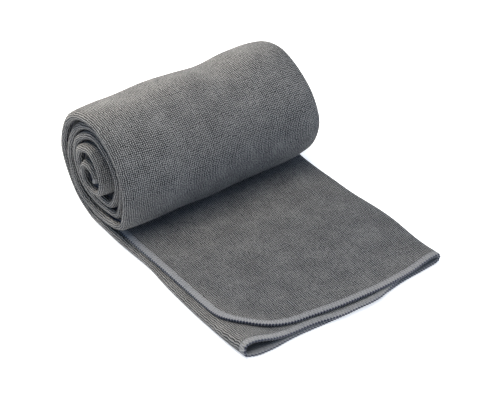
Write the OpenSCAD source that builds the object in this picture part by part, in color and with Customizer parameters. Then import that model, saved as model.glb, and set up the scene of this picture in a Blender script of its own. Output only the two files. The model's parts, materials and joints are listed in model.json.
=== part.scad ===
// Quick-dry towel, folded in three along its length and rolled up, with its free end laid out.
//
// Origin: centre of the overall box, on the surface that the towel lies on.
// +X runs along the roll, from its left end to its right; -Y points from the roll to the free end;
// +Z is up. The towel is one panel of microfibre cloth with an overlocked edge. Here the panel is
// divided where it folds, rolls and bends, so that each stretch of it is a solid of its own.

/* [Towel] */
// Width of the towel when it is opened out flat
towel_w = 500; // [470:5:510]
// Thickness of one layer of cloth, with its pile
cloth_t = 2; // [1.6:0.1:2.2]
// Radius of the towel's rounded corners
corner_r = 45; // [30:1:55]
// Width of the overlocked edge
hem_w = 5; // [3:0.5:8]

/* [Folding] */
// Width of the towel folded in three
folded_w = 170; // [166:1:174]
// Space between two folded layers
layer_gap = 0.2; // [0.1:0.05:0.3]
// How far the hidden long edge stays back from the fold at the right
inner_edge_inset = 4; // [4:0.5:12]

/* [Roll] */
// Depth of the roll, front to back
roll_depth = 96; // [90:1:104]
// Height of the roll above the surface that it lies on
roll_height = 90; // [84:1:98]
// Distance from one turn of the roll to the next
pitch = 8; // [7.6:0.1:9]
// Number of turns in the roll
turns = 4.5; // [4.25:0.125:4.5]
// Width of the towel's far end, which lies folded flat in the middle of the roll
core_fold_w = 22; // [12:1:22]
// How far the roll's weight flattens its underside
flattening = 2; // [1:0.5:4]

/* [Free end] */
// Length of the whole towel as it lies, roll and free end together
overall_l = 228; // [215:1:240]
// How far in front of the middle of the roll the free end leaves it
nip_ahead = 20; // [18:1:24]
// Length of the free end from the roll to the line where it bends
first_bend_l = 61; // [50:1:70]
// How far the middle layer's end stays back from the bottom layer's
middle_setback = 1; // [0:0.5:4]
// How far the top layer's end stays back from the bottom layer's
top_setback = 5; // [4:0.5:10]
// Where the corner's fold line meets the side edge, measured from the towel's end
flap_side_l = 70; // [66:1:74]
// Where the corner's fold line meets the end edge, measured from the side edge
flap_end_l = 79; // [60:1:90]

/* [Hidden] */

$fn = 64;
eps = 0.01;
hinge_gap = 0.3;      // clear space at each line where the cloth bends
turn_step = 5;        // degrees between two points along a turn
turned_end = 360 * turns;
reach = 400;          // larger than the towel in any direction

bottom = 0;           // the three layers, counted from the surface up
middle = 1;
top = 2;
layer_step = cloth_t + layer_gap;
stack_t = 3 * cloth_t + 2 * layer_gap;

// Fold radii: the left fold joins the bottom and middle layers, the right fold wraps all three
left_fold_r = cloth_t + layer_gap / 2;
right_fold_r = stack_t / 2;

left_x = -folded_w / 2;
right_x = folded_w / 2;
layer_left_x = left_x + left_fold_r;
layer_right_x = right_x - right_fold_r;
middle_right_x = right_x - inner_edge_inset;
// The three widths add up to the towel's, so the top layer's free edge falls just inside the left fold
top_left_x = right_x - (towel_w - folded_w - (middle_right_x - left_x));

// The roll: a flattened spiral, whose half-axes shrink by one pitch with each turn
half_y = (roll_depth + pitch) / 2;
half_z = (roll_height + pitch / 2 + flattening) / 2;
roll_y = overall_l / 2 - (half_y - pitch / 4);
roll_z = half_z - flattening;

front_y = -overall_l / 2;
middle_front_y = front_y + middle_setback;
top_front_y = front_y + top_setback;
nip_y = roll_y - nip_ahead;
bend_y = nip_y - first_bend_l;

// The corner's fold line runs from the side edge to the end edge of the top layer
flap_a = [top_left_x, front_y + flap_side_l];
flap_b = [top_left_x + flap_end_l, top_front_y];
flap_angle = atan2(flap_b[1] - flap_a[1], flap_b[0] - flap_a[0]);

cloth_grey = [0.39, 0.39, 0.4];
inner_grey = [0.33, 0.33, 0.35];
thread_grey = [0.5, 0.5, 0.52];

// ---- the roll ----

// A point on the spiral: turned is the angle from the underside, depth the distance in from the outside
function wrap_point(turned, depth) =
    let (inward = pitch * turned / 360 + depth,
         y = roll_y + (half_y - inward) * sin(turned),
         z = roll_z - (half_z - inward) * cos(turned))
    [y, max(z, inward)];

// One layer of cloth wound from one angle to another
module wound(from, to, depth, thickness, x0, x1) {
    outer = [for (a = [from : turn_step : to]) wrap_point(a, depth)];
    inner = [for (a = [to : -turn_step : from]) wrap_point(a, depth + thickness)];
    translate([x0, 0, 0]) rotate([90, 0, 90])
        linear_extrude(x1 - x0) polygon(concat(outer, inner));
}

// All three layers wound from one angle to another, without the folds that join them
module wound_layers(from, to) {
    wound(from, to, bottom * layer_step, cloth_t, layer_left_x, layer_right_x);
    wound(from, to, middle * layer_step, cloth_t, layer_left_x, middle_right_x);
    wound(from, to, top * layer_step, cloth_t, top_left_x, layer_right_x);
}

// Flat cloth, from one corner of its outline to the other
module laid(x0, x1, y0, y1, layer) {
    translate([x0, y0, layer * layer_step]) cube([x1 - x0, y1 - y0, cloth_t]);
}

module roll_base() {
    color(cloth_grey) {
        laid(layer_left_x, layer_right_x, nip_y, roll_y, bottom);
        laid(layer_left_x, middle_right_x, nip_y, roll_y, middle);
        laid(top_left_x, layer_right_x, nip_y, roll_y, top);
    }
}

module outer_turn() { color(cloth_grey) wound_layers(0, 360); }
module second_turn() { color(cloth_grey) wound_layers(360, 720); }
module third_turn() { color(inner_grey) wound_layers(720, 1080); }
module fourth_turn() { color(inner_grey) wound_layers(1080, 1440); }
module core_turn() { color(inner_grey) wound_layers(1440, turned_end); }

// The far end of the towel lies flat in the hollow that the last turn leaves
module core_fold() {
    y = roll_y - pitch / 4;
    z = roll_z - pitch / 4 - stack_t / 2;
    color(inner_grey) translate([0, 0, z]) {
        laid(layer_left_x, layer_right_x, y - core_fold_w / 2, y + core_fold_w / 2, bottom);
        laid(layer_left_x, middle_right_x, y - core_fold_w / 2, y + core_fold_w / 2, middle);
        laid(top_left_x, layer_right_x, y - core_fold_w / 2, y + core_fold_w / 2, top);
    }
}

module roll_left_fold() {
    color(cloth_grey) {
        wound(0, turned_end, 0, 2 * left_fold_r, left_x, layer_left_x);
        translate([left_x, nip_y, 0]) cube([left_fold_r, roll_y - nip_y, 2 * left_fold_r]);
    }
}

module roll_right_fold() {
    color(cloth_grey) {
        wound(0, turned_end, 0, stack_t, layer_right_x, right_x);
        translate([layer_right_x, nip_y, 0]) cube([right_fold_r, roll_y - nip_y, stack_t]);
    }
}

// ---- the free end ----

// A half round fold along Y, open towards the layers that it joins
module side_fold(x, y0, y1, r, outward) {
    translate([x, y1, r]) rotate([90, 0, 0]) linear_extrude(y1 - y0) difference() {
        circle(r = r);
        circle(r = r - cloth_t);
        translate([outward > 0 ? -reach : 0, -reach / 2]) square([reach, reach]);
    }
}

// Outline of a layer with one rounded corner at its end: side is -1 at the left, 1 at the right
module rounded_outline(x0, x1, y0, y1, r, side) {
    corner_x = side < 0 ? x0 + r : x1 - r;
    translate([x0, y0 + r]) square([x1 - x0, y1 - y0 - r]);
    translate([side < 0 ? corner_x : x0, y0]) square([x1 - x0 - r, r + eps]);
    translate([corner_x, y0 + r]) circle(r = r);
}

// The top layer's whole outline, taken in from its free edges by inset
module top_outline(inset) {
    rounded_outline(top_left_x + inset, layer_right_x, top_front_y + inset, nip_y - hinge_gap,
        corner_r - inset, -1);
}

// The middle layer's whole outline, taken in from its free edges by inset
module middle_outline(inset) {
    rounded_outline(layer_left_x, middle_right_x - inset, middle_front_y + inset, nip_y - hinge_gap,
        corner_r - inset, 1);
}

// Everything between two lines across the towel
module between(y0, y1) {
    translate([-reach / 2, y0]) square([reach, y1 - y0]);
}

module near_part() { between(bend_y, nip_y); }
module far_part() { between(front_y - 1, bend_y - hinge_gap); }

// Everything on the corner's side of the fold line, moved away from the line by clear
module corner_side(clear) {
    translate(flap_a) rotate(flap_angle) translate([-reach / 2, -reach - clear]) square([reach, reach]);
}

// A flat solid in one layer, from an outline
module in_layer(layer) {
    translate([0, 0, layer * layer_step]) linear_extrude(cloth_t) children();
}

module tail_bottom_layer() {
    color(cloth_grey) laid(layer_left_x, layer_right_x, bend_y, nip_y - hinge_gap, bottom);
}

module tail_middle_layer() {
    color(cloth_grey) laid(layer_left_x, middle_right_x - hem_w, bend_y, nip_y - hinge_gap, middle);
}

module tail_top_layer() {
    color(cloth_grey) laid(top_left_x + hem_w, layer_right_x, bend_y, nip_y - hinge_gap, top);
}

module tail_side_hem() {
    color(thread_grey) laid(top_left_x, top_left_x + hem_w, bend_y, nip_y - hinge_gap, top);
}

module tail_hidden_hem() {
    color(thread_grey)
        laid(middle_right_x - hem_w, middle_right_x, bend_y, nip_y - hinge_gap, middle);
}

module tail_left_fold() {
    color(cloth_grey) side_fold(layer_left_x, bend_y, nip_y - hinge_gap, left_fold_r, -1);
}

module tail_right_fold() {
    color(cloth_grey) side_fold(layer_right_x, bend_y, nip_y - hinge_gap, right_fold_r, 1);
}

module end_bottom_layer() {
    color(cloth_grey)
        laid(layer_left_x, layer_right_x, front_y + hem_w, bend_y - hinge_gap, bottom);
}

module end_bottom_hem() {
    color(thread_grey) laid(layer_left_x, layer_right_x, front_y, front_y + hem_w, bottom);
}

module end_middle_layer() {
    color(cloth_grey) in_layer(middle) intersection() {
        middle_outline(hem_w);
        far_part();
    }
}

module end_middle_hem() {
    color(thread_grey) in_layer(middle) intersection() {
        difference() {
            middle_outline(0);
            middle_outline(hem_w);
        }
        far_part();
    }
}

module end_top_layer() {
    color(cloth_grey) in_layer(top) difference() {
        intersection() {
            top_outline(hem_w);
            far_part();
        }
        corner_side(0);
    }
}

module end_top_hem() {
    color(thread_grey) in_layer(top) difference() {
        intersection() {
            top_outline(0);
            far_part();
        }
        top_outline(hem_w);
        corner_side(0);
    }
}

module end_left_fold() {
    color(cloth_grey)
        side_fold(layer_left_x, middle_front_y, bend_y - hinge_gap, left_fold_r, -1);
}

module end_right_fold() {
    color(cloth_grey)
        side_fold(layer_right_x, top_front_y, bend_y - hinge_gap, right_fold_r, 1);
}

// ---- the corner that turns back ----

module corner_flap() {
    color(cloth_grey) in_layer(top) intersection() {
        top_outline(hem_w);
        corner_side(hinge_gap);
    }
}

module corner_hem() {
    color(thread_grey) in_layer(top) intersection() {
        difference() {
            top_outline(0);
            top_outline(hem_w);
        }
        corner_side(hinge_gap);
    }
}

roll_base();
outer_turn();
second_turn();
third_turn();
fourth_turn();
core_turn();
core_fold();
roll_left_fold();
roll_right_fold();
tail_bottom_layer();
tail_middle_layer();
tail_top_layer();
tail_side_hem();
tail_hidden_hem();
tail_left_fold();
tail_right_fold();
end_bottom_layer();
end_middle_layer();
end_top_layer();
end_bottom_hem();
end_middle_hem();
end_top_hem();
end_left_fold();
end_right_fold();
corner_flap();
corner_hem();
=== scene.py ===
"""Looks of a quick-dry towel, folded in three, rolled up, with its free end laid out.

The whole towel is one sheet of cloth. Every point of it has a place on the flat panel: across (0 to
500 mm, over its width) and along (0 to 1000 mm, from the free end to the middle of the roll). One
function, place(), carries such a point through the three-fold and along the roll's path. The sheet
and its overlocking threads are both made with it, so they fit each other everywhere.

Lengths here are in millimetres, in the part's frame, until a mesh is made.
"""

import itertools
import json
import math

import bmesh
import bpy
import numpy as np
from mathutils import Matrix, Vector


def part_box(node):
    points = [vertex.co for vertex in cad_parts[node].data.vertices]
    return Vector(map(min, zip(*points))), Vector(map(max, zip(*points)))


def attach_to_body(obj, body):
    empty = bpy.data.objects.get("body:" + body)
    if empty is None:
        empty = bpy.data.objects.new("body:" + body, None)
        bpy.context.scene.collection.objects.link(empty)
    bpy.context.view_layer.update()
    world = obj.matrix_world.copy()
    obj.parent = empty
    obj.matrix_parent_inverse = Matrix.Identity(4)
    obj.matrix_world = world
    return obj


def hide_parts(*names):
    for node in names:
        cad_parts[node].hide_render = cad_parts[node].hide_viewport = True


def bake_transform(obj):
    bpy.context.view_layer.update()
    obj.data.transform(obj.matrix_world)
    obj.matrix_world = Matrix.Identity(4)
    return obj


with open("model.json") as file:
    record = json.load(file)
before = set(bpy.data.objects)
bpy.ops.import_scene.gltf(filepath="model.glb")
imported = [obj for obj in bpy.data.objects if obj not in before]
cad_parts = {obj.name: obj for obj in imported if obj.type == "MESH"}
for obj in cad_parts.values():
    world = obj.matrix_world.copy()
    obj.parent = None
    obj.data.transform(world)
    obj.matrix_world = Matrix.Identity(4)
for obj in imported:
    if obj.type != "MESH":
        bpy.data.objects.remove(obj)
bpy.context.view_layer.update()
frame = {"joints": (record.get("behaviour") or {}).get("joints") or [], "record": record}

MM = 0.001
CM = 10.0  # in millimetres: the panel places kept for the materials are in centimetres
TAU = 2 * math.pi


def cad_mm(node):
    """Lowest and highest corner of a CAD node, in millimetres."""
    low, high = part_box(node)
    return np.array(low) / MM, np.array(high) / MM


def joint_mm(name):
    """A joint's axis point, in millimetres, and its axis."""
    joint = next(j for j in frame["joints"] if j["name"] == name)
    return np.array(joint["pos_m"]) / MM, np.array(joint["axis"])


# ---------------------------------------------------------------- driving dimensions

PANEL_W, PANEL_L = 500.0, 1000.0
CORNER_R = 45.0
CLOTH_T = 2.0  # with its pile
HEM_W = 5.0
HEM_DIP = 0.2  # how much the sewing presses the edge together, on each face
RIM = 1.1  # width over which a free edge rounds off

low, high = cad_mm("end_bottom_hem")
FRONT_Y = low[1]
low, high = cad_mm("outer_turn")
ROLL_Y, ROLL_Z = (low[1] + high[1]) / 2, high[2] / 2
ROLL_BACK = high[1]
NIP, _ = joint_mm("tail_lift")
BEND, _ = joint_mm("tail_bend")
FOLD_LINE, FOLD_AXIS = joint_mm("corner_fold")
# over the cloth, from the corner's fold line towards the corner
CORNER_DIR = np.array([FOLD_AXIS[1], -FOLD_AXIS[0], 0.0])
if CORNER_DIR[1] > 0:
    CORNER_DIR = -CORNER_DIR

# where the panel's stretches begin, counted across the panel from the top layer's free edge
TOP_END, RIGHT_FOLD_END, LEFT_FOLD_START, LEFT_FOLD_END = 161.0, 170.0, 329.0, 338.0

# heights of the layers' middles over the outside of the stack
BOTTOM_H, MIDDLE_H, TOP_H = 1.05, 3.25, 5.45

# seams between the pieces that move apart, as distances along the towel
SEAM_ROLL = 60.0 - FRONT_Y  # under the roll
SEAM_TAIL = 14.0 - FRONT_Y  # between the line at the roll and the line across the free end
FLAP_MARGIN = 8.0  # the corner's piece starts this far behind its fold line

# half the width of each side fold's bend, seen along the towel
LEFT_BEND, RIGHT_BEND = 2.4, 3.0


def smooth(x, start, end):
    """0 before start, 1 after end, and an even curve between."""
    t = np.clip((x - start) / (end - start), 0, 1)
    return t * t * (3 - 2 * t)


def bump(x, middle, width):
    """1 at the middle, falling to nothing about twice the width away."""
    return np.exp(-(((x - middle) / width) ** 2))


def curve(x, knots):
    """A smooth curve through knots of (x, value), level beyond its ends."""
    xs, ys = np.array(knots, float).T
    slopes = np.gradient(ys, xs)
    i = np.clip(np.searchsorted(xs, x) - 1, 0, len(xs) - 2)
    span = xs[i + 1] - xs[i]
    t = np.clip((x - xs[i]) / span, 0, 1)
    return (ys[i] * (1 + 2 * t) * (1 - t) ** 2 + slopes[i] * span * t * (1 - t) ** 2
            + ys[i + 1] * t * t * (3 - 2 * t) - slopes[i + 1] * span * t * t * (1 - t))


def waves(u, v, seed, length, count=7):
    """Soft seeded unevenness between about -1 and 1, with bumps about length across."""
    draw = np.random.default_rng(seed)
    total = np.zeros(np.broadcast(u, v).shape)
    for _ in range(count):
        turn = draw.uniform(0, TAU)
        stretch = draw.uniform(0.7, 1.6)
        phase = draw.uniform(0, TAU)
        total += np.cos(TAU * (u * math.cos(turn) + v * math.sin(turn)) / (length * stretch) + phase)
    return total / math.sqrt(count)


# ---------------------------------------------------------------- the roll's path

# Distance of the roll's outside from its middle, every 45 degrees from the underside: first to the
# back, then over the top, down the front, and so on inwards. Drafted, and then adjusted with the help
# of radii measured on the photograph
TURNS = [
    [45.0, 46.2, 47.0, 47.4, 45.8, 43.4, 43.6, 44.2],
    [37.2, 37.4, 37.6, 39.0, 38.2, 35.2, 35.0, 35.4],
    [29.0, 29.4, 30.0, 32.2, 31.4, 28.0, 27.4, 27.4],
    [21.0, 21.2, 22.0, 23.6, 22.2, 19.0, 17.6, 16.6],
    [13.4, 12.2, 12.4],
]
# The far end crosses the middle of the roll and doubles back: (back, up) from the roll's middle.
# Set with the help of the same measures
CORE = [(11.5, 4.5), (7.0, 9.5), (0.5, 10.0), (-6.0, 7.5), (-9.5, 2.5), (-8.5, -3.5)]
# How puffed up the left fold stays over one turn: (part of the turn, height)
PUFF = [(0, 3.0), (0.125, 3.2), (0.25, 3.2), (0.375, 2.6), (0.5, 1.4), (0.625, 0.6), (0.75, 0.2),
        (0.875, 0.5), (0.95, 1.8), (1, 3.0)]
# How far each turn stands out of the roll's left end: (turns made, distance)
TELESCOPE = [(0, 0), (0.8, 0.3), (1.25, 0), (1.5, -2.4), (1.75, -3.8), (1.9, -3.4), (2.05, -0.8),
             (2.25, 0), (2.5, -2.8), (2.75, -3.2), (3, -1), (3.25, 1.4), (3.5, 2.8), (3.75, 4.0),
             (4, 4.4), (4.6, 4.0)]


def path_points():
    """Corner points of the stack's outside, from the free end to the middle of the roll."""
    step, lead = 10, 20  # the points' spacing on the flat, and how far ahead of the front they start
    flat = range(int((ROLL_Y - step - FRONT_Y + lead) / step))
    points = [(FRONT_Y - lead + step * i, 0.0) for i in flat]
    for turn, radii in enumerate(TURNS):
        for eighth, radius in enumerate(radii):
            angle = TAU * eighth / 8
            y = ROLL_Y + radius * math.sin(angle)
            z = ROLL_Z - radius * math.cos(angle)
            points.append((y, max(z, 0.0)))
            if turn == 0 and eighth == 0:
                points.append((ROLL_Y + 12, 0.4))  # the roll's weight keeps its underside flat
    points += [(ROLL_Y + back, ROLL_Z + up) for back, up in CORE]
    return np.array(points)


def spline(points, per_span=40):
    """A Catmull-Rom curve through the points."""
    ends = np.vstack([2 * points[0] - points[1], points, 2 * points[-1] - points[-2]])
    t = np.linspace(0, 1, per_span, endpoint=False)[:, None]
    spans = []
    for a, b, c, d in zip(ends[:-3], ends[1:-2], ends[2:-1], ends[3:]):
        spans.append(0.5 * (2 * b + (c - a) * t + (2 * a - 5 * b + 4 * c - d) * t**2
                            + (3 * b - a - 3 * c + d) * t**3))
    return np.vstack(spans + [points[-1:]])


def smoothed(values, reach):
    """Values averaged over a window of reach samples, with straight ends."""
    kernel = np.hanning(2 * reach + 3)
    kernel /= kernel.sum()
    padded = np.pad(values, reach + 1, mode="reflect", reflect_type="odd")
    return np.convolve(padded, kernel, mode="valid")


class Path:
    """The stack's outside, evenly sampled by the distance along the towel."""

    STEP = 0.5

    def __init__(self):
        drawn = spline(path_points())
        drawn[:, 1] = np.maximum(drawn[:, 1], 0)
        run = np.concatenate([[0], np.cumsum(np.hypot(*np.diff(drawn, axis=0).T))])
        straight = slice(0, 200)  # the path's start, where y still grows steadily
        run -= np.interp(FRONT_Y, drawn[straight, 0], run[straight])
        self.s = np.arange(run[0], run[-1], self.STEP)
        self.y = smoothed(np.interp(self.s, run, drawn[:, 0]), 8)
        self.z = smoothed(np.interp(self.s, run, drawn[:, 1]), 8)
        heading = np.unwrap(np.arctan2(np.gradient(self.z), np.gradient(self.y)))
        self.heading = smoothed(heading, 6)
        self.length = self.s[-1]
        # turns made so far, for what changes from turn to turn
        self.turned = self.heading / TAU

    def at(self, s):
        """y, z, heading and turns made at distance s along the towel."""
        return [np.interp(s, self.s, v) for v in (self.y, self.z, self.heading, self.turned)]


PATH = Path()
# what is left of the panel behind that seam is fitted to what is left of the drawn path
STRETCH = (PATH.length - SEAM_ROLL) / (PANEL_L - SEAM_ROLL)


def run_of(along):
    """Distance on the path of a point that far along the panel."""
    return np.where(along < SEAM_ROLL, along, SEAM_ROLL + (along - SEAM_ROLL) * STRETCH)


# ---------------------------------------------------------------- folding and placing a point

# where the two free long edges lie: the top layer's, and the hidden one of the middle layer
TOP_LEFT_X, MIDDLE_RIGHT_X = -78.5, 79.5
# the left fold's outermost line: (distance along the towel, x), evened out from points measured on
# the photograph
LEFT_SIDE = [(0, -83.2), (14, -84.2), (40, -84.4), (70, -84.0), (95, -83.0), (120, -80.8),
             (150, -80.2)]
RIGHT_SIDE = 83.2


def outline_x(along):
    """Middle of the cloth at the left fold and at the right fold, at their outermost."""
    rolled = smooth(along, 110, 165)
    left = curve(along, LEFT_SIDE) - 2.6 * rolled
    right = RIGHT_SIDE + 3.0 * bump(along, 60, 26)
    return left, right


def lifts(x, along):
    """How far the middle and the top layer rise where the folds gape at the free end."""
    left = 5.4 * bump(x, -76, 17) * bump(along, 0, 34)
    right = 1.6 * bump(x, 76, 13) * bump(along, 0, 24)
    sag = -0.9 * bump(x, 57, 12) * bump(along, 0, 26)
    return left, right + sag


def layer_height(layer, x, along):
    """Height of a layer's middle over the outside of the stack."""
    left, right = lifts(x, along)
    rolled = smooth(along, 150, 190)
    hems = 1 - smooth(along, 4, 12)  # the sewn edges lie on one another
    # the left fold stays puffed up in the roll, most below and at the back of each turn
    turned = PATH.at(run_of(along))[3]
    puff = curve(np.mod(turned, 1), PUFF) + 0.7 * bump(turned, 0.3, 0.14)
    loop = puff * smooth(along, 120, 160) * smooth(-x, 77.0, 82.0)
    tail = 1 - rolled
    soft = tail * (0.5 + 0.5 * waves(x, along, 5, 52))
    softer = tail * (0.5 + 0.5 * waves(x, along, 8, 38))
    if layer == "bottom":
        return BOTTOM_H + 0.17 * hems
    middle = MIDDLE_H + left + loop + 0.35 * soft
    if layer == "middle":
        return middle + 0.37 * hems + 0.25 * right
    return middle + 0.6 * hems + (TOP_H - MIDDLE_H) + right - loop + 0.45 * softer


# How far each layer's end lies behind the straight front: (x, distance). Measured: points on the
# photograph's edges were carried into this frame by a scratch script, rounded, and then adjusted
FRONT = {
    "top": [(-85, 10), (-63, 9.8), (-43, 9.3), (-31, 8), (-14, 5), (1, 2.9), (18, 1.7), (35, 0.9),
            (44, 1.0), (55, 1.8), (66, 2.6), (78, 3.0), (86, 3.2)],
    "middle": [(-85, 7.6), (-78, 7.8), (-63, 5.0), (-48, 3.7), (-33, 2.7), (-25, 1.6), (-18, -0.2),
               (-9, -2.2), (5, -3.1), (16, -3.7), (24, -3.2), (34, -0.6), (42, 1.2), (60, 3.0),
               (80, 7.0)],
    "bottom": [(-87, 8.0), (-83, 6.7), (-76, 3.6), (-67, 2.4), (-46, 2.6), (-20, 0.6), (0, -0.9),
               (30, -0.1), (49, 2.2), (71, 3.0), (82, 4.0), (87, 6.0)],
}


def front_shift(layer, x):
    """How far a layer's front lies behind the straight front, at x."""
    return curve(x, FRONT[layer])


def section(across, along):
    """The folded towel's cross-section: x, and height over the stack's outside."""
    left_out, right_out = outline_x(along)
    right_x, left_x = right_out - RIGHT_BEND, left_out + LEFT_BEND
    top = across < TOP_END
    right = (across >= TOP_END) & (across < RIGHT_FOLD_END)
    bottom = (across >= RIGHT_FOLD_END) & (across < LEFT_FOLD_START)
    left = (across >= LEFT_FOLD_START) & (across < LEFT_FOLD_END)
    middle = across >= LEFT_FOLD_END

    x = np.where(top, TOP_LEFT_X + (right_x - TOP_LEFT_X) * across / TOP_END, 0.0)
    share = (across - RIGHT_FOLD_END) / (LEFT_FOLD_START - RIGHT_FOLD_END)
    x = np.where(bottom, right_x + (left_x - right_x) * share, x)
    share = (across - LEFT_FOLD_END) / (PANEL_W - LEFT_FOLD_END)
    x = np.where(middle, left_x + (MIDDLE_RIGHT_X - left_x) * share, x)
    turn_r = math.pi * (across - TOP_END) / (RIGHT_FOLD_END - TOP_END)
    x = np.where(right, right_x + RIGHT_BEND * np.sin(turn_r), x)
    turn_l = math.pi * (across - LEFT_FOLD_START) / (LEFT_FOLD_END - LEFT_FOLD_START)
    x = np.where(left, left_x - LEFT_BEND * np.sin(turn_l), x)

    def both_ends(function, edge_x, upper):
        return function(upper, edge_x), function("bottom", edge_x)

    def height(layer, edge_x):
        return layer_height(layer, edge_x, along)

    h = np.where(top, height("top", x), 0.0)
    h = np.where(bottom, height("bottom", x), h)
    h = np.where(middle, height("middle", x), h)
    over, under = both_ends(height, right_x, "top")
    h = np.where(right, (over + under) / 2 + (over - under) / 2 * np.cos(turn_r), h)
    over, under = both_ends(height, left_x, "middle")
    h = np.where(left, (over + under) / 2 - (over - under) / 2 * np.cos(turn_l), h)

    shift = np.where(top, front_shift("top", x), 0.0)
    shift = np.where(bottom, front_shift("bottom", x), shift)
    shift = np.where(middle, front_shift("middle", x), shift)
    over, under = both_ends(front_shift, right_x, "top")
    shift = np.where(right, over + (under - over) * turn_r / math.pi, shift)
    over, under = both_ends(front_shift, left_x, "middle")
    shift = np.where(left, under + (over - under) * turn_l / math.pi, shift)
    return x, h, shift * (1 - smooth(along, 0, 100))


def roll_unevenness(x, turned):
    """How far the roll's cloth lies inside its path. Distances inwards are positive."""
    # the right end is rounded off, and the left end a little
    right_end = 9.0 * (1 - np.sqrt(1 - np.clip((x - 62) / 27, 0, 0.95) ** 2))
    left_end = 1.0 * smooth(-x, 78, 87)
    # over the top it dips right of its middle, and it stands higher but for its left end
    top = (3.2 * bump(x, 28, 17) - 2.6 * smooth(x, -90, -55)) * bump(np.mod(turned, 1), 0.45, 0.13)
    soft = 0.5 * waves(x, ROLL_Y * turned * 4.2, 21, 60)
    return right_end + left_end + top + soft


def place(across, along, out):
    """Where a point of the panel lies. out is its distance from the middle of the cloth, towards the
    face that shows on top of the free end and all round the roll."""
    across, along, out = np.broadcast_arrays(across, along, out)
    step = 0.05
    x, h, shift = section(across, along)
    x2, h2, _ = section(across + step, along)
    dx, dh = x2 - x, h2 - h
    size = np.hypot(dx, dh)
    size = np.where(size < 1e-9, 1, size)
    x = x - out * dh / size
    h = h + out * dx / size

    run = run_of(along) + shift
    y, z, heading, turned = PATH.at(run)
    rolled = smooth(along, 150, 185)
    h = h + rolled * roll_unevenness(x, turned)
    # the middle of the roll is wound a little tighter
    tightness = 1 - 0.16 * smooth(turned, 3.2, 4.0)
    y = y - np.sin(heading) * h * tightness
    z = z + np.cos(heading) * h * tightness
    # above its foot, the roll's left end is a little shallower than the rest
    y = y + (ROLL_BACK - y) * rolled * 0.06 * smooth(-x, 40, 86) * smooth(z, 2, 34)
    # turns stand out of the ends or back from them, and their edges wander
    x = x - rolled * curve(turned, TELESCOPE)
    x = x + rolled * 0.6 * waves(turned * 60, 0.0, 33, 34)
    # the right end leans out a little low down at the front
    x = x + rolled * 4.5 * bump(np.mod(turned, 1), 0.8, 0.14) * smooth(x, 40, 84)
    return np.stack([x, y, z], axis=-1)


# ---------------------------------------------------------------- the panel's outline and grid

EDGE_STEPS = [0.0, 0.12, 0.4, 0.8, 1.2, 2.0, 3.0, 4.0, 4.8, 5.4, 6.6, 8.2]  # fine at a sewn edge
EDGE_END = 10.4  # where the even steps take over
FOLD_STEP = 0.7  # over the tight bends of the side folds
LAYER_STEP = 3.9  # over the flat layers, from fold to fold


def cells(start, end, size):
    """Even steps of about size from start to end, without the end."""
    return list(np.linspace(start, end, max(2, round((end - start) / size)), endpoint=False))


def with_edges(lines, length):
    """Lines over the panel's inside, with the fine steps of its two edges added."""
    lines = lines + [length - EDGE_END]
    return np.array(EDGE_STEPS + lines + [length - step for step in reversed(EDGE_STEPS)])


def across_lines():
    lines = cells(EDGE_END, TOP_END, LAYER_STEP)
    lines += cells(TOP_END, RIGHT_FOLD_END, FOLD_STEP)
    lines += cells(RIGHT_FOLD_END, LEFT_FOLD_START, LAYER_STEP)
    lines += cells(LEFT_FOLD_START, LEFT_FOLD_END, FOLD_STEP)
    lines += cells(LEFT_FOLD_END, PANEL_W - EDGE_END, LAYER_STEP)
    return with_edges(lines, PANEL_W)


def along_lines():
    """Finer where the cloth bends more: the stretches are (start, end, step)."""
    stretches = [(EDGE_END, SEAM_TAIL, 2.2), (SEAM_TAIL, SEAM_ROLL, 2.2), (SEAM_ROLL, 560, 4.2),
                 (560, 800, 3.2), (800, PANEL_L - EDGE_END, 2.6)]
    lines = [line for stretch in stretches for line in cells(*stretch)]
    return with_edges(lines, PANEL_L)


def round_corners(across, along):
    """Carries a rectangular grid onto the panel, whose corners are rounded."""
    for corner_x, corner_y in ((0, 0), (PANEL_W, 0), (0, PANEL_L), (PANEL_W, PANEL_L)):
        u = 1 - np.abs(across - corner_x) / CORNER_R
        v = 1 - np.abs(along - corner_y) / CORNER_R
        inside = (u > 0) & (v > 0)
        u, v = np.clip(u, 0, 1), np.clip(v, 0, 1)
        round_u, round_v = u * np.sqrt(1 - v**2 / 2), v * np.sqrt(1 - u**2 / 2)
        sign_x, sign_y = (1 if corner_x == 0 else -1), (1 if corner_y == 0 else -1)
        across = np.where(inside, corner_x + sign_x * CORNER_R * (1 - round_u), across)
        along = np.where(inside, corner_y + sign_y * CORNER_R * (1 - round_v), along)
    return across, along


def edge_distance(across, along):
    """Distance to the panel's outline, from inside."""
    from_x = np.minimum(across, PANEL_W - across)
    from_y = np.minimum(along, PANEL_L - along)
    in_corner = (from_x < CORNER_R) & (from_y < CORNER_R)
    corner = CORNER_R - np.hypot(CORNER_R - from_x, CORNER_R - from_y)
    return np.maximum(np.where(in_corner, corner, np.minimum(from_x, from_y)), 0)


def half_thickness(distance):
    """Half the cloth's thickness, at a distance from its sewn edge."""
    rim = np.sqrt(1 - (1 - np.clip(distance / RIM, 0, 1)) ** 2)
    hem = 1 - smooth(distance, HEM_W - 0.7, HEM_W + 0.5)
    return rim * (CLOTH_T / 2 - HEM_DIP * hem)


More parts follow.
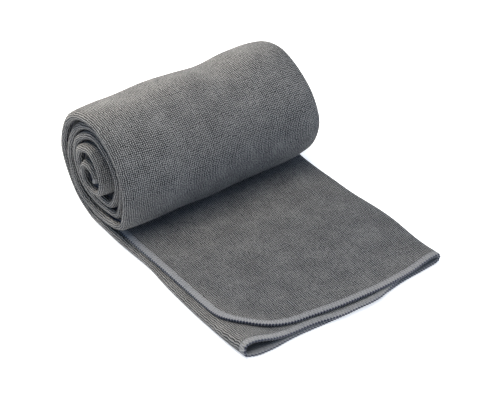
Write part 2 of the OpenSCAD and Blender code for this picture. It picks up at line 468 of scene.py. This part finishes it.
class Grid:
    """The closed, two-faced sheet as rows of points round the folded section."""

    def __init__(self):
        lines, self.rows = across_lines(), along_lines()
        across, along = np.meshgrid(lines, self.rows)
        across, along = round_corners(across, along)
        half = half_thickness(edge_distance(across, along))
        face = place(across, along, half)
        back = place(across, along, -half)
        # one row goes over the face and returns on the back; its two ends are shared
        turn = slice(-2, 0, -1)
        self.points = np.concatenate([face, back[:, turn]], axis=1)
        self.points[..., 2] = np.maximum(self.points[..., 2], 0.0)
        panel = np.stack([across, along], -1)
        self.panel = np.concatenate([panel, panel[:, turn]], axis=1)
        self.columns = self.points.shape[1]
        self.width = len(lines)

    def partner(self, column):
        """The column on the other side of the cloth."""
        return (self.columns - column) % self.columns

    def row_at(self, along):
        """The row nearest to a distance along the towel."""
        return int(np.argmin(np.abs(self.rows - along)))

    def cap(self, row, index, zipped):
        """Faces that close the sheet's cut end at a row, unless its two faces meet there."""
        if row in zipped:
            return []
        faces = []
        for column in range(self.width - 1):
            corners = [index[row, column], index[row, column + 1],
                       index[row, self.partner(column + 1)], index[row, self.partner(column)]]
            faces.append([v for i, v in enumerate(corners) if v not in corners[:i]])
        return faces

    def mesh(self, name, first, last):
        """Rows first to last as a closed mesh in metres."""
        rows = range(first, last + 1)
        index = {}
        points, panel = [], []
        zipped = {0, len(self.rows) - 1}
        for row in rows:
            for column in range(self.columns):
                own = min(column, self.partner(column)) if row in zipped else column
                if (row, own) not in index:
                    index[row, own] = len(points)
                    points.append(self.points[row, own] * MM)
                    panel.append(self.panel[row, own])
                index[row, column] = index[row, own]
        faces = []
        for row in rows[:-1]:
            for column in range(self.columns):
                after = (column + 1) % self.columns
                faces.append((index[row, column], index[row, after],
                              index[row + 1, after], index[row + 1, column]))
        faces += [tuple(reversed(face)) for face in self.cap(first, index, zipped)]
        faces += [tuple(face) for face in self.cap(last, index, zipped)]
        mesh = bpy.data.meshes.new(name)
        mesh.from_pydata(points, [], faces)
        panel = np.array(panel)
        distance = edge_distance(*panel.T)
        store(mesh, "panel", panel / CM)
        store(mesh, "hem", 1 - smooth(distance, HEM_W - 1.0, HEM_W + 0.3))
        # where the cut edge is: the material darkens it, partly as dark thread and partly as painted
        # shade
        store(mesh, "rim", 1 - smooth(distance, 0.3, 0.9))
        store(mesh, "fold", fold_mask(panel[:, 0]))
        return mesh


def fold_mask(across):
    """1 where the cloth bends over a side fold, where its ribs stand out."""
    left = smooth(across, LEFT_FOLD_START - 6, LEFT_FOLD_START)
    left = left * (1 - smooth(across, LEFT_FOLD_END + 6, LEFT_FOLD_END + 12))
    right = smooth(across, TOP_END - 8, TOP_END)
    right = right * (1 - smooth(across, RIGHT_FOLD_END, RIGHT_FOLD_END + 6))
    return left + right


def store(mesh, name, values):
    """Keeps values on the mesh's points: one number each, a place on the panel, or a vector."""
    if values.ndim == 1:
        attribute = mesh.attributes.new(name, "FLOAT", "POINT")
        attribute.data.foreach_set("value", values.astype(np.float32))
        return
    missing = 3 - values.shape[1]
    vectors = np.concatenate([values, np.zeros((len(values), missing))], axis=1)
    attribute = mesh.attributes.new(name, "FLOAT_VECTOR", "POINT")
    attribute.data.foreach_set("vector", vectors.astype(np.float32).ravel())


def stored(mesh, name):
    """The vectors that store() kept, one row for each point."""
    vectors = np.zeros(len(mesh.vertices) * 3, np.float32)
    mesh.attributes[name].data.foreach_get("vector", vectors)
    return vectors.reshape(-1, 3)


def add_object(name, mesh, material):
    mesh.materials.clear()
    mesh.materials.append(material)
    piece = bpy.data.objects.new(name, mesh)
    bpy.context.scene.collection.objects.link(piece)
    mesh.shade_smooth()
    return piece


# ---------------------------------------------------------------- materials


class Nodes:
    """A short way to write a material's node tree."""

    def __init__(self, name):
        self.material = bpy.data.materials.new(name)
        self.material.use_nodes = True
        self.tree = self.material.node_tree
        self.tree.nodes.clear()

    def add(self, kind, inputs=None, **settings):
        node = self.tree.nodes.new(kind)
        for key, value in settings.items():
            setattr(node, key, value)
        for key, value in (inputs or {}).items():
            if isinstance(value, bpy.types.NodeSocket):
                self.tree.links.new(value, node.inputs[key])
            else:
                node.inputs[key].default_value = value
        return node

    def math(self, operation, a, b=0.0, clamp=False):
        node = self.add("ShaderNodeMath", {0: a, 1: b}, operation=operation, use_clamp=clamp)
        return node.outputs[0]

    def noise(self, vector, scale, detail=2.0, roughness=0.5):
        node = self.add("ShaderNodeTexNoise",
                        {"Vector": vector, "Scale": scale, "Detail": detail, "Roughness": roughness})
        return node.outputs["Fac"]

    def specks(self, vector, scale):
        """A random value for each of the small cells of about 1 / scale."""
        node = self.add("ShaderNodeTexVoronoi", {"Vector": vector, "Scale": scale})
        return self.add("ShaderNodeSeparateXYZ", {0: node.outputs["Color"]}).outputs[0]

    def ramp(self, value, low, high):
        node = self.add("ShaderNodeMapRange", {"Value": value, "From Min": low, "From Max": high,
                                               "To Min": 0.0, "To Max": 1.0})
        return node.outputs[0]

    def mix(self, factor, a, b):
        """A mix of two colours, at the colour sockets of the Mix node."""
        return self.add("ShaderNodeMix", {0: factor, 6: a, 7: b}, data_type="RGBA").outputs[2]

    def attribute(self, name, output="Fac"):
        return self.add("ShaderNodeAttribute", attribute_name=name).outputs[output]

    def product(self, a, b):
        return self.math("MULTIPLY", a, b)

    def total(self, first, *others):
        for other in others:
            first = self.math("ADD", first, other)
        return first


# The cloth's knit, in centimetres: from rib to rib, and from one row of loops to the next
WALE, COURSE = 0.135, 0.13
NAP_SCALE = 12.0  # specks of nap to a centimetre
# How strongly the loops, the nap, its tufts, the soft mottling and the folds' ribs show in the tone
GRAIN_LOOPS, GRAIN_NAP, GRAIN_TUFTS, GRAIN_PATCHES, GRAIN_RIBS = 1.35, 0.75, 0.1, 1.3, 0.22
CLOTH_DARK, CLOTH_LIGHT = (0.018, 0.0182, 0.0195, 1), (0.285, 0.282, 0.28, 1)
# at the cut edge, the dark bluish colour is partly dark thread and partly painted shade
HEM_TINT, RIM_THREAD_AND_SHADE = (0.34, 0.34, 0.345, 1), (0.035, 0.038, 0.06, 1)


def cloth_material():
    """Split microfibre terry: fine ribs along the towel, a short nap, and soft mottling."""
    n = Nodes("microfibre_cloth")
    panel = n.attribute("panel", "Vector")
    parts = n.add("ShaderNodeSeparateXYZ", {0: panel})
    across, along = parts.outputs[0], parts.outputs[1]

    wander = n.product(n.noise(panel, 2.5), 0.2)
    wale = n.math("SINE", n.product(n.total(across, wander), TAU / WALE))
    course = n.math("SINE", n.product(n.total(along, wander), TAU / COURSE))
    loops = n.total(n.product(wale, n.total(n.product(course, 0.5), 0.7)), n.product(course, 0.6))
    nap = n.math("SUBTRACT", n.specks(panel, NAP_SCALE), 0.5)
    tufts = n.math("SUBTRACT", n.noise(panel, 4.0, 1.0), 0.5)
    patches = n.math("SUBTRACT", n.noise(panel, 0.5, 2.5, 0.6), 0.5)
    ribs = n.product(wale, n.product(n.attribute("fold"), GRAIN_RIBS))

    grain = n.total(n.product(loops, GRAIN_LOOPS), n.product(nap, GRAIN_NAP))
    tone = n.total(grain, n.product(tufts, GRAIN_TUFTS), n.product(patches, GRAIN_PATCHES), ribs)
    tone = n.math("ADD", tone, 0.5, clamp=True)
    colour = n.mix(tone, CLOTH_DARK, CLOTH_LIGHT)
    colour = n.mix(n.product(n.attribute("hem"), 0.5), colour, HEM_TINT)
    # painted shade, over a darker thread, at the cut edge
    colour = n.mix(n.attribute("rim"), colour, RIM_THREAD_AND_SHADE)

    relief = n.total(n.product(loops, 0.25), n.product(nap, 0.5), n.product(ribs, 4.0))
    normal = n.add("ShaderNodeBump", {"Strength": 0.6, "Distance": 0.0004, "Height": relief})
    shader = n.add("ShaderNodeBsdfPrincipled", {
        "Base Color": colour, "Roughness": 0.95, "Specular IOR Level": 0.1,
        "Sheen Weight": 0.08, "Sheen Roughness": 0.5, "Sheen Tint": (0.75, 0.77, 0.8, 1),
        "Normal": normal.outputs[0]})
    n.add("ShaderNodeOutputMaterial", {"Surface": shader.outputs[0]})
    return n.material


def shade(colour, factor=1.0):
    """A colour made lighter or darker, with its alpha."""
    return tuple(factor * c for c in colour) + (1,)


def thread_material(name, tint, edge_thread_and_shade):
    """Textured polyester thread, darker where it turns over the cloth's edge: partly darker thread,
    partly painted shade.
    """
    n = Nodes(name)
    panel = n.attribute("panel", "Vector")
    inset = n.add("ShaderNodeSeparateXYZ", {0: panel}).outputs[1]
    strands = n.noise(panel, 60.0, 2.0, 0.6)
    twisted = n.mix(strands, shade(tint, 0.6), shade(tint, 1.4))
    # painted shade, with a darker thread, where the thread turns over the cloth's edge
    colour = n.mix(n.ramp(inset, 0.0, 0.08), shade(edge_thread_and_shade), twisted)
    normal = n.add("ShaderNodeBump", {"Strength": 0.5, "Distance": 0.0002, "Height": strands})
    shader = n.add("ShaderNodeBsdfPrincipled", {
        "Base Color": colour, "Roughness": 0.8, "Specular IOR Level": 0.2,
        "Sheen Weight": 0.2, "Sheen Roughness": 0.5, "Normal": normal.outputs[0]})
    n.add("ShaderNodeOutputMaterial", {"Surface": shader.outputs[0]})
    return n.material


# ---------------------------------------------------------------- the cloth's four pieces


def place_key(vertex):
    """A point's place, rounded so that it is found again in another mesh."""
    return tuple(np.round(vertex.co * 1e6).astype(int))


def normals_by_place(mesh):
    """The mesh's normal at each of its points, by the point's place."""
    normals = np.zeros(len(mesh.vertices) * 3, np.float32)
    mesh.vertex_normals.foreach_get("vector", normals)
    return {place_key(v): normal for v, normal in zip(mesh.vertices, normals.reshape(-1, 3))}


def keep_normals(piece):
    """Shades a piece with the whole towel's normals, so that its seams with the next don't show.
    The caps of its cut ends keep their own."""
    mesh = piece.data
    shared = stored(mesh, "smooth_normal")
    mesh.attributes.remove(mesh.attributes["smooth_normal"])
    corner_vertex = np.zeros(len(mesh.loops), np.int64)
    mesh.loops.foreach_get("vertex_index", corner_vertex)
    face_normal = np.zeros(len(mesh.polygons) * 3, np.float32)
    mesh.polygons.foreach_get("normal", face_normal)
    sizes = np.zeros(len(mesh.polygons), np.int64)
    mesh.polygons.foreach_get("loop_total", sizes)
    own = np.repeat(face_normal.reshape(-1, 3), sizes, axis=0)
    shared = shared[corner_vertex]
    shared /= np.maximum(np.linalg.norm(shared, axis=1), 1e-9)[:, None]
    is_cap = (own * shared).sum(1) < 0.3
    shared[is_cap] = own[is_cap]
    mesh.normals_split_custom_set(shared.tolist())


def split_mesh(mesh, keep_faces, name):
    """A copy of the mesh with only some of its faces."""
    made = bmesh.new()
    made.from_mesh(mesh)
    made.faces.ensure_lookup_table()
    drop = [f for f, keep in zip(made.faces, keep_faces) if not keep]
    bmesh.ops.delete(made, geom=drop, context="FACES")
    part = bpy.data.meshes.new(name)
    made.to_mesh(part)
    made.free()
    return part


def close_holes(mesh):
    """Caps the open ends that cutting left."""
    made = bmesh.new()
    made.from_mesh(mesh)
    rim = [e for e in made.edges if e.is_boundary]
    if rim:
        bmesh.ops.holes_fill(made, edges=rim, sides=0)
    made.to_mesh(mesh)
    made.free()


def cut_corner(mesh):
    """Cuts the top layer along a line behind the corner's fold line.
    Returns the rest of the free end and the corner, as two meshes."""
    point = (FOLD_LINE - CORNER_DIR * FLAP_MARGIN) * MM
    made = bmesh.new()
    made.from_mesh(mesh)
    panel = made.verts.layers.float_vector["panel"]
    top = [f for f in made.faces if all(v[panel].x * CM < TOP_END - 1 for v in f.verts)]
    geom = list({v for f in top for v in f.verts} | {e for f in top for e in f.edges}) + top
    bmesh.ops.bisect_plane(made, geom=geom, plane_co=point, plane_no=CORNER_DIR, dist=1e-7)
    made.faces.ensure_lookup_table()

    def is_corner(face):
        middle = np.array(face.calc_center_median())
        on_top = all(v[panel].x * CM < TOP_END for v in face.verts)
        return on_top and (middle - point) @ CORNER_DIR > 0

    chosen = [is_corner(f) for f in made.faces]
    cut_mesh = bpy.data.meshes.new("end_cut")
    made.to_mesh(cut_mesh)
    made.free()
    corner = split_mesh(cut_mesh, chosen, "corner_cloth")
    rest = split_mesh(cut_mesh, [not c for c in chosen], "end_cloth")
    close_holes(corner)
    close_holes(rest)
    return rest, corner


def cloth_pieces():
    """The towel's sheet in four pieces, cut where it bends between two bodies."""
    grid = Grid()
    last_row = len(grid.rows) - 1
    row_tail, row_roll = grid.row_at(SEAM_TAIL), grid.row_at(SEAM_ROLL)
    whole_normals = normals_by_place(grid.mesh("whole_towel", 0, last_row))

    def stretch(name, first, last):
        mesh = grid.mesh(name, first, last)
        store(mesh, "smooth_normal", np.array([whole_normals[place_key(v)] for v in mesh.vertices]))
        return mesh

    end_mesh, corner_mesh = cut_corner(stretch("end_whole", 0, row_tail))
    meshes = {"roll": stretch("roll_cloth", row_roll, last_row),
              "near": stretch("near_cloth", row_tail, row_roll),
              "end": end_mesh, "corner": corner_mesh}
    cloth = cloth_material()
    pieces = {owner: add_object(f"{owner}_cloth", mesh, cloth) for owner, mesh in meshes.items()}
    for piece in pieces.values():
        keep_normals(piece)
    return pieces


# ---------------------------------------------------------------- the overlocking threads

STITCH = 2.2  # distance between two stitches
THREAD_R = 0.29
# lengths round the panel's outline: a rounded corner, and the straight sides and ends between them
ARC = TAU * CORNER_R / 4
SIDE, END = PANEL_L - 2 * CORNER_R, PANEL_W - 2 * CORNER_R

# Each thread's course over one stitch: (share of the stitch, inset from the edge, distance out)
UPPER_LOOPER = [(0.0, 4.6, 0.8), (0.12, 3.2, 0.92), (0.3, 1.4, 0.92), (0.42, 0.2, 0.72),
                (0.5, -0.3, 0.08), (0.58, 0.2, 0.72), (0.7, 1.4, 0.92), (0.88, 3.2, 0.92)]
LOWER_LOOPER = [(share, inset, -out) for share, inset, out in UPPER_LOOPER]
NEEDLE = [(0.0, 4.6, 0.5), (0.15, 4.6, 0.88), (0.5, 4.65, 0.95), (0.85, 4.6, 0.88)]


def on_outline(distance, inset):
    """A point of the panel that far round its outline, and that far in from its edge.
    The outline starts at the far corner's end on the top layer's free edge, and runs to the free
    end, along it, and up the middle layer's free edge."""
    d, inset = np.broadcast_arrays(distance, inset)
    reach = CORNER_R - inset
    first = np.clip((d - SIDE) / ARC, 0, 1) * TAU / 4
    second = np.clip((d - SIDE - ARC - END) / ARC, 0, 1) * TAU / 4
    stretches = [d < SIDE, d < SIDE + ARC, d < SIDE + ARC + END, d < SIDE + 2 * ARC + END]
    across = np.select(stretches, [inset, CORNER_R - reach * np.cos(first),
                                   CORNER_R + d - SIDE - ARC,
                                   PANEL_W - CORNER_R + reach * np.sin(second)], PANEL_W - inset)
    along = np.select(stretches, [PANEL_L - CORNER_R - d, CORNER_R - reach * np.sin(first), inset,
                                  CORNER_R - reach * np.cos(second)],
                      CORNER_R + d - SIDE - 2 * ARC - END)
    return across, along


def unit(vectors):
    return vectors / np.maximum(np.linalg.norm(vectors, axis=1), 1e-9)[:, None]


def thread_tube(course, start, stitches, radius, sides=5):
    """Points, panel places and faces of a thread that follows the course for some stitches."""
    shares, insets, outs = np.array(course).T
    count = np.arange(stitches)[:, None]
    jitter = 0.12 * np.sin(count * 2.4) + 0.08 * np.sin(count * 5.1 + 1)
    distance = (start + (count + shares[None, :] + jitter * (insets[None, :] / HEM_W)) * STITCH).ravel()
    inset = np.tile(insets, stitches) * (1 + 0.03 * np.sin(distance * 1.7))
    out = np.tile(outs, stitches)
    across, along = on_outline(distance, inset)
    centre = place(across, along, out)
    tangent = unit(np.gradient(centre, axis=0))
    side = unit(np.cross(tangent, unit(place(across, along, out + 0.2) - centre)))
    up = np.cross(side, tangent)
    turns = np.arange(sides) * TAU / sides
    ring = (np.cos(turns)[None, :, None] * side[:, None, :]
            + np.sin(turns)[None, :, None] * up[:, None, :]) * radius
    points = (centre[:, None, :] + ring).reshape(-1, 3)
    panel = np.repeat(np.stack([distance, inset], -1), sides, axis=0)
    panel[:, 1] += np.tile(turns, len(centre)) * 0.3
    faces = []
    for i in range(len(centre) - 1):
        for k in range(sides):
            after = (k + 1) % sides
            faces.append((i * sides + k, i * sides + after,
                          (i + 1) * sides + after, (i + 1) * sides + k))
    faces.append(tuple(reversed(range(sides))))
    faces.append(tuple(len(points) - sides + k for k in range(sides)))
    return points, panel, faces


def stitch_runs():
    """The stretches of the outline whose stitches show: (piece sewn on, start, stitches)."""
    start = PANEL_L - CORNER_R - SEAM_ROLL
    stop = SIDE + 2 * ARC + END + SEAM_ROLL - CORNER_R
    distance = start + np.arange(int((stop - start) / STITCH)) * STITCH
    inset = 2.0  # inside the sewn band
    across, along = on_outline(distance, inset)
    past_fold = (place(across, along, 0.0) - FOLD_LINE) @ CORNER_DIR
    on_end = along < SEAM_TAIL
    on_corner = on_end & (across < TOP_END) & (past_fold > -FLAP_MARGIN)
    owners = np.where(on_corner, "corner", np.where(on_end, "end", "near"))
    runs = []
    for owner, group in itertools.groupby(range(len(owners)), key=lambda i: str(owners[i])):
        stitches = list(group)
        runs.append((owner, distance[stitches[0]], len(stitches)))
    return runs


def sew(kind, course, radius, material):
    """One thread's pieces, by the piece of cloth that they are sewn on."""
    sewn = {}
    for owner, start, stitches in stitch_runs():
        if stitches >= 2:
            sewn.setdefault(owner, []).append(thread_tube(course, start, stitches, radius))
    pieces = {}
    for owner, tubes in sewn.items():
        points = np.vstack([tube[0] for tube in tubes])
        panel = np.vstack([tube[1] for tube in tubes])
        faces, base = [], 0
        for tube_points, _, tube_faces in tubes:
            faces += [tuple(base + v for v in face) for face in tube_faces]
            base += len(tube_points)
        mesh = bpy.data.meshes.new(f"{owner}_{kind}")
        mesh.from_pydata((points * MM).tolist(), [], faces)
        store(mesh, "panel", panel / CM)
        pieces[owner] = add_object(f"{owner}_{kind}", mesh, material)
    return pieces


def overlocking():
    """The three threads of the sewn edge, each as its pieces."""
    # the threads' colour at the cloth's edge: partly darker thread, partly painted shade
    edge_thread_and_shade = (0.22, 0.224, 0.25)
    thread = thread_material("overlock_thread", (0.33, 0.332, 0.345), edge_thread_and_shade)
    needle_thread = thread_material("needle_thread", (0.26, 0.262, 0.272), edge_thread_and_shade)
    return [sew("upper_looper", UPPER_LOOPER, THREAD_R, thread),
            sew("lower_looper", LOWER_LOOPER, THREAD_R, thread),
            sew("needle_thread", NEEDLE, THREAD_R * 0.6, needle_thread)]


# ---------------------------------------------------------------- bodies

# How far each bend reaches before its joint's line, and past it
NIP_BEHIND, NIP_AHEAD = 10, 26
BEND_REACH = 17
CORNER_REACH = CORNER_DIR * (FLAP_MARGIN - 0.5)
# Each bending piece's two bodies, and where the bend between them starts and ends
BENDS = {
    "near": (("roll", "tail"), (0, NIP[1] + NIP_BEHIND, 0), (0, NIP[1] - NIP_AHEAD, 0)),
    "end": (("tail", "tail_end"), (0, BEND[1] + BEND_REACH, 0), (0, BEND[1] - BEND_REACH, 0)),
    "corner": (("tail_end", "corner"), FOLD_LINE - CORNER_REACH, FOLD_LINE + CORNER_REACH),
}


def attach(piece, owner):
    """Parents a roll piece to the roll's body; any other piece only has its transform baked into its
    mesh.
    """
    if owner == "roll":
        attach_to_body(piece, "roll")
        return
    bodies, start, end = BENDS[owner]
    start, end = (tuple(v * MM for v in point) for point in (start, end))
    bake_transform(piece)


def stand_in():
    """Hides the CAD nodes that each piece of cloth, and the threads on it, take the place of."""
    bodies = frame["record"]["behaviour"]["bodies"]
    for owner, body in (("roll", "roll"), ("near", "tail"), ("end", "tail_end"), ("corner", "corner")):
        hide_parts(*[node for node in bodies[body] if "hem" not in node])
    for owner, nodes in (("near", ["tail_side_hem", "tail_hidden_hem"]), ("corner", ["corner_hem"]),
                         ("end", ["end_bottom_hem", "end_middle_hem", "end_top_hem"])):
        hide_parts(*nodes)


def flat_cut(piece):
    """The piece's width, length and area on the flat panel, in metres and square metres."""
    mesh = piece.data
    places = stored(mesh, "panel")[:, :2].astype(float) * CM * MM
    size = places.max(0) - places.min(0)
    doubled = 0.0  # the sheet has two faces
    for face in mesh.polygons:
        corners = places[list(face.vertices)]
        following = np.roll(corners, -1, axis=0)
        doubled += abs((corners[:, 0] * following[:, 1] - corners[:, 1] * following[:, 0]).sum()) / 2
    return (float(size[0]), float(size[1])), doubled / 2


def towel():
    pieces = cloth_pieces()
    threads = overlocking()
    for owner, piece in pieces.items():
        attach(piece, owner)
    for thread_pieces in threads:
        for owner, piece in thread_pieces.items():
            attach(piece, owner)
    stand_in()
    for piece in pieces.values():
        cut, cut_area = flat_cut(piece)


# ---------------------------------------------------------------- studio


def area_light(name, place_m, aim_m, size, power, colour):
    data = bpy.data.lights.new(name, "AREA")
    data.shape = "DISK"
    data.size = size
    data.energy = power
    data.color = colour
    light = bpy.data.objects.new(name, data)
    light.location = place_m
    direction = np.array(aim_m) - np.array(place_m)
    light.rotation_euler = Vector(direction).to_track_quat("-Z", "Y").to_euler()
    bpy.context.scene.collection.objects.link(light)


def floor():
    """A pale floor that glows a little, so that the towel stands on white."""
    half = 60.0  # half its width, in metres
    level = -0.0004  # just below the towel
    mesh = bpy.data.meshes.new("floor")
    mesh.from_pydata([(-half, -half, level), (half, -half, level), (half, half, level),
                      (-half, half, level)], [], [(0, 1, 2, 3)])
    n = Nodes("floor_white")
    shader = n.add("ShaderNodeBsdfPrincipled", {"Base Color": (0.9, 0.9, 0.9, 1), "Roughness": 0.9,
                                                "Specular IOR Level": 0.1,
                                                "Emission Color": (0.97, 0.98, 1.0, 1),
                                                "Emission Strength": 0.6})
    n.add("ShaderNodeOutputMaterial", {"Surface": shader.outputs[0]})
    mesh.materials.append(n.material)
    made = bpy.data.objects.new("floor", mesh)
    bpy.context.scene.collection.objects.link(made)


def lights():
    """A cool room, warm lights from above and from behind, and a weak cool one from the front right."""
    world = bpy.data.worlds.new("studio")
    world.use_nodes = True
    background = world.node_tree.nodes["Background"]
    background.inputs["Color"].default_value = (0.48, 0.68, 1.0, 1)
    background.inputs["Strength"].default_value = 0.5
    bpy.context.scene.world = world

    warm = (1.0, 0.92, 0.78)
    area_light("key", (-0.1, -0.15, 1.5), (0, 0, 0.03), 1.2, 13.0, warm)
    area_light("near", (-0.08, 0.12, 0.46), (0, 0.06, 0.05), 0.25, 1.05, warm)
    area_light("fill", (0.7, -0.8, 0.35), (0, 0.03, 0.04), 0.6, 1.6, (0.9, 0.95, 1.0))
    area_light("back", (-0.2, 0.85, 0.44), (0, 0.03, 0.05), 0.25, 13.0, (1.0, 0.93, 0.81))


def camera():
    """The photograph's viewpoint: from the front left, looking down at the towel."""
    azimuth, elevation = math.radians(-36.0), math.radians(36.9)
    distance = 1.0723
    aim_right, aim_up = 0.0189, 0.0074  # from base to the picture's middle, as the camera sees it
    back = np.array([math.sin(azimuth) * math.cos(elevation),
                     -math.cos(azimuth) * math.cos(elevation), math.sin(elevation)])
    right = np.array([math.cos(azimuth), math.sin(azimuth), 0.0])
    up = np.cross(back, right)
    base = np.array([0.0, 0.02825, 0.0])
    data = bpy.data.cameras.new("camera")
    data.lens = 106.0
    data.sensor_width = 36.0
    data.clip_start = 0.05
    made = bpy.data.objects.new("camera", data)
    made.location = base + back * distance
    target = base + right * aim_right + up * aim_up
    view = Vector(target - np.array(made.location))
    made.rotation_euler = view.to_track_quat("-Z", "Y").to_euler()
    bpy.context.scene.collection.objects.link(made)
    bpy.context.scene.camera = made


towel()
floor()
lights()
camera()
bpy.context.scene.view_settings.view_transform = "Standard"
